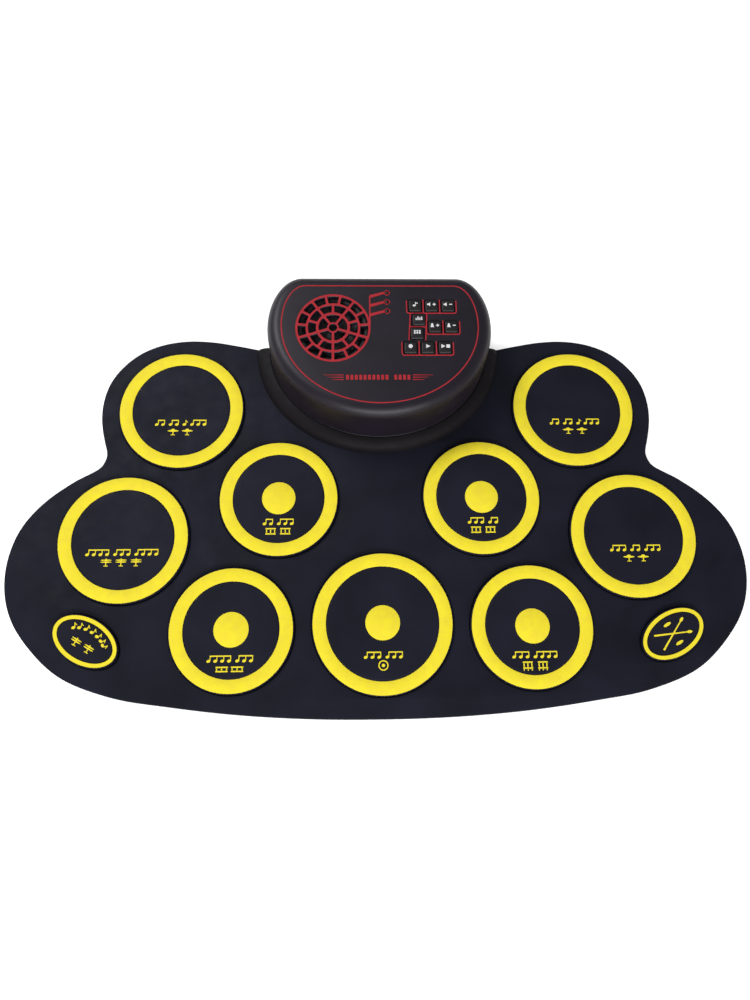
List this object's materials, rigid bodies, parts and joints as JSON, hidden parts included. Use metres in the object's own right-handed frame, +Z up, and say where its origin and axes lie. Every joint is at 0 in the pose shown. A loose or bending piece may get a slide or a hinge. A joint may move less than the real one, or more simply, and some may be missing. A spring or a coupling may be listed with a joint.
{
  "type": "electronic drum pad",
  "caption": "Roll-up electronic drum pad: flexible silicone mat with round and oval striking pads around a D-shaped console with speaker grille, rubber keys and lamps.",
  "frame": {"origin": "centre of the footprint, on the surface that the object lies on", "axes": "+X to the player's right, +Y from the player to the console at the rear, +Z up"},
  "size_m": [0.4558, 0.268, 0.046],
  "materials": {
    "mat_silicone": "matte, finely grained",
    "pad_silicone": "matte, smooth",
    "yellow_print": "matte printed yellow",
    "red_print": "satin printed red",
    "white_print": "satin printed white",
    "case_plastic": "satin, fine spark-eroded texture",
    "collar_rubber": "matte",
    "key_rubber": "satin",
    "lamp_lens": "translucent dark red",
    "foot_rubber": "matte",
    "sensor_film": "clear amber film with printed tracks",
    "circuit_board": "green solder resist",
    "black_plastic": "moulded black",
    "bright_steel": "plated steel",
    "cone_paper": "black pulp paper"
  },
  "bodies": {
    "console_and_mat": {"mat_base": "mat_silicone", "mat_skin": "mat_silicone", "sensor_film": "sensor_film", "sensor_cable": "sensor_film", "badge_plate": "pad_silicone", "collar": "collar_rubber", "bottom_case": "case_plastic", "top_case": "case_plastic", "lamp_rear": "lamp_lens", "lamp_middle": "lamp_lens", "lamp_front": "lamp_lens", "dome_sheet": "foot_rubber", "rubber_foot_1": "foot_rubber", "rubber_foot_2": "foot_rubber", "rubber_foot_3": "foot_rubber", "rubber_foot_4": "foot_rubber", "main_board": "circuit_board", "jack_board": "circuit_board", "sound_chip": "black_plastic", "amplifier_chip": "black_plastic", "headphone_jack": "black_plastic", "audio_in_jack": "black_plastic", "sustain_pedal_jack": "black_plastic", "bass_pedal_jack": "black_plastic", "power_switch": "black_plastic", "speaker_basket": "bright_steel", "speaker_magnet": "bright_steel", "usb_socket": "bright_steel", "spring_contacts": "bright_steel", "flat_contacts": "bright_steel", "case_screw_1": "bright_steel", "case_screw_2": "bright_steel", "case_screw_3": "bright_steel", "case_screw_4": "bright_steel", "speaker_cone": "cone_paper"},
    "crash_pad_left": {"crash_pad_left": "pad_silicone"},
    "crash_pad_right": {"crash_pad_right": "pad_silicone"},
    "hi_hat_pad": {"hi_hat_pad": "pad_silicone"},
    "ride_pad": {"ride_pad": "pad_silicone"},
    "high_tom_pad": {"high_tom_pad": "pad_silicone"},
    "low_tom_pad": {"low_tom_pad": "pad_silicone"},
    "snare_pad": {"snare_pad": "pad_silicone"},
    "floor_tom_pad": {"floor_tom_pad": "pad_silicone"},
    "bass_pad": {"bass_pad": "pad_silicone"},
    "closed_hi_hat_pad": {"closed_hi_hat_pad": "pad_silicone"},
    "key_demo": {"key_demo": "key_rubber"},
    "key_volume_up": {"key_volume_up": "key_rubber"},
    "key_volume_down": {"key_volume_down": "key_rubber"},
    "key_rhythm": {"key_rhythm": "key_rubber"},
    "key_style": {"key_style": "key_rubber"},
    "key_tempo_up": {"key_tempo_up": "key_rubber"},
    "key_tempo_down": {"key_tempo_down": "key_rubber"},
    "key_record": {"key_record": "key_rubber"},
    "key_play": {"key_play": "key_rubber"},
    "key_start_stop": {"key_start_stop": "key_rubber"},
    "power_slider": {"power_slider": "key_rubber"},
    "battery_door": {"battery_door": "case_plastic"}
  },
  "joints": [
    {"name": "crash_pad_left_press", "type": "slide", "parent": "console_and_mat", "child": "crash_pad_left", "axis": [0, 0, -1], "range_m": [0, 0.0008], "stiffness_N_per_m": 2500},
    {"name": "crash_pad_right_press", "type": "slide", "parent": "console_and_mat", "child": "crash_pad_right", "axis": [0, 0, -1], "range_m": [0, 0.0008], "stiffness_N_per_m": 2500},
    {"name": "hi_hat_pad_press", "type": "slide", "parent": "console_and_mat", "child": "hi_hat_pad", "axis": [0, 0, -1], "range_m": [0, 0.0008], "stiffness_N_per_m": 2500},
    {"name": "ride_pad_press", "type": "slide", "parent": "console_and_mat", "child": "ride_pad", "axis": [0, 0, -1], "range_m": [0, 0.0008], "stiffness_N_per_m": 2500},
    {"name": "high_tom_pad_press", "type": "slide", "parent": "console_and_mat", "child": "high_tom_pad", "axis": [0, 0, -1], "range_m": [0, 0.0008], "stiffness_N_per_m": 2500},
    {"name": "low_tom_pad_press", "type": "slide", "parent": "console_and_mat", "child": "low_tom_pad", "axis": [0, 0, -1], "range_m": [0, 0.0008], "stiffness_N_per_m": 2500},
    {"name": "snare_pad_press", "type": "slide", "parent": "console_and_mat", "child": "snare_pad", "axis": [0, 0, -1], "range_m": [0, 0.0008], "stiffness_N_per_m": 2500},
    {"name": "floor_tom_pad_press", "type": "slide", "parent": "console_and_mat", "child": "floor_tom_pad", "axis": [0, 0, -1], "range_m": [0, 0.0008], "stiffness_N_per_m": 2500},
    {"name": "bass_pad_press", "type": "slide", "parent": "console_and_mat", "child": "bass_pad", "axis": [0, 0, -1], "range_m": [0, 0.0008], "stiffness_N_per_m": 2500},
    {"name": "closed_hi_hat_pad_press", "type": "slide", "parent": "console_and_mat", "child": "closed_hi_hat_pad", "axis": [0, 0, -1], "range_m": [0, 0.0008], "stiffness_N_per_m": 2500},
    {"name": "key_demo_press", "type": "slide", "parent": "console_and_mat", "child": "key_demo", "axis": [0, 0, -1], "range_m": [0, 0.0009], "stiffness_N_per_m": 600},
    {"name": "key_volume_up_press", "type": "slide", "parent": "console_and_mat", "child": "key_volume_up", "axis": [0, 0, -1], "range_m": [0, 0.0009], "stiffness_N_per_m": 600},
    {"name": "key_volume_down_press", "type": "slide", "parent": "console_and_mat", "child": "key_volume_down", "axis": [0, 0, -1], "range_m": [0, 0.0009], "stiffness_N_per_m": 600},
    {"name": "key_rhythm_press", "type": "slide", "parent": "console_and_mat", "child": "key_rhythm", "axis": [0, 0, -1], "range_m": [0, 0.0009], "stiffness_N_per_m": 600},
    {"name": "key_style_press", "type": "slide", "parent": "console_and_mat", "child": "key_style", "axis": [0, 0, -1], "range_m": [0, 0.0009], "stiffness_N_per_m": 600},
    {"name": "key_tempo_up_press", "type": "slide", "parent": "console_and_mat", "child": "key_tempo_up", "axis": [0, 0, -1], "range_m": [0, 0.0009], "stiffness_N_per_m": 600},
    {"name": "key_tempo_down_press", "type": "slide", "parent": "console_and_mat", "child": "key_tempo_down", "axis": [0, 0, -1], "range_m": [0, 0.0009], "stiffness_N_per_m": 600},
    {"name": "key_record_press", "type": "slide", "parent": "console_and_mat", "child": "key_record", "axis": [0, 0, -1], "range_m": [0, 0.0009], "stiffness_N_per_m": 600},
    {"name": "key_play_press", "type": "slide", "parent": "console_and_mat", "child": "key_play", "axis": [0, 0, -1], "range_m": [0, 0.0009], "stiffness_N_per_m": 600},
    {"name": "key_start_stop_press", "type": "slide", "parent": "console_and_mat", "child": "key_start_stop", "axis": [0, 0, -1], "range_m": [0, 0.0009], "stiffness_N_per_m": 600},
    {"name": "power_slide", "type": "slide", "parent": "console_and_mat", "child": "power_slider", "axis": [1, 0, 0], "range_m": [0, 0.003]},
    {"name": "battery_door_slide", "type": "slide", "parent": "console_and_mat", "child": "battery_door", "axis": [0, 1, 0], "range_m": [0, 0.064]}
  ]
}
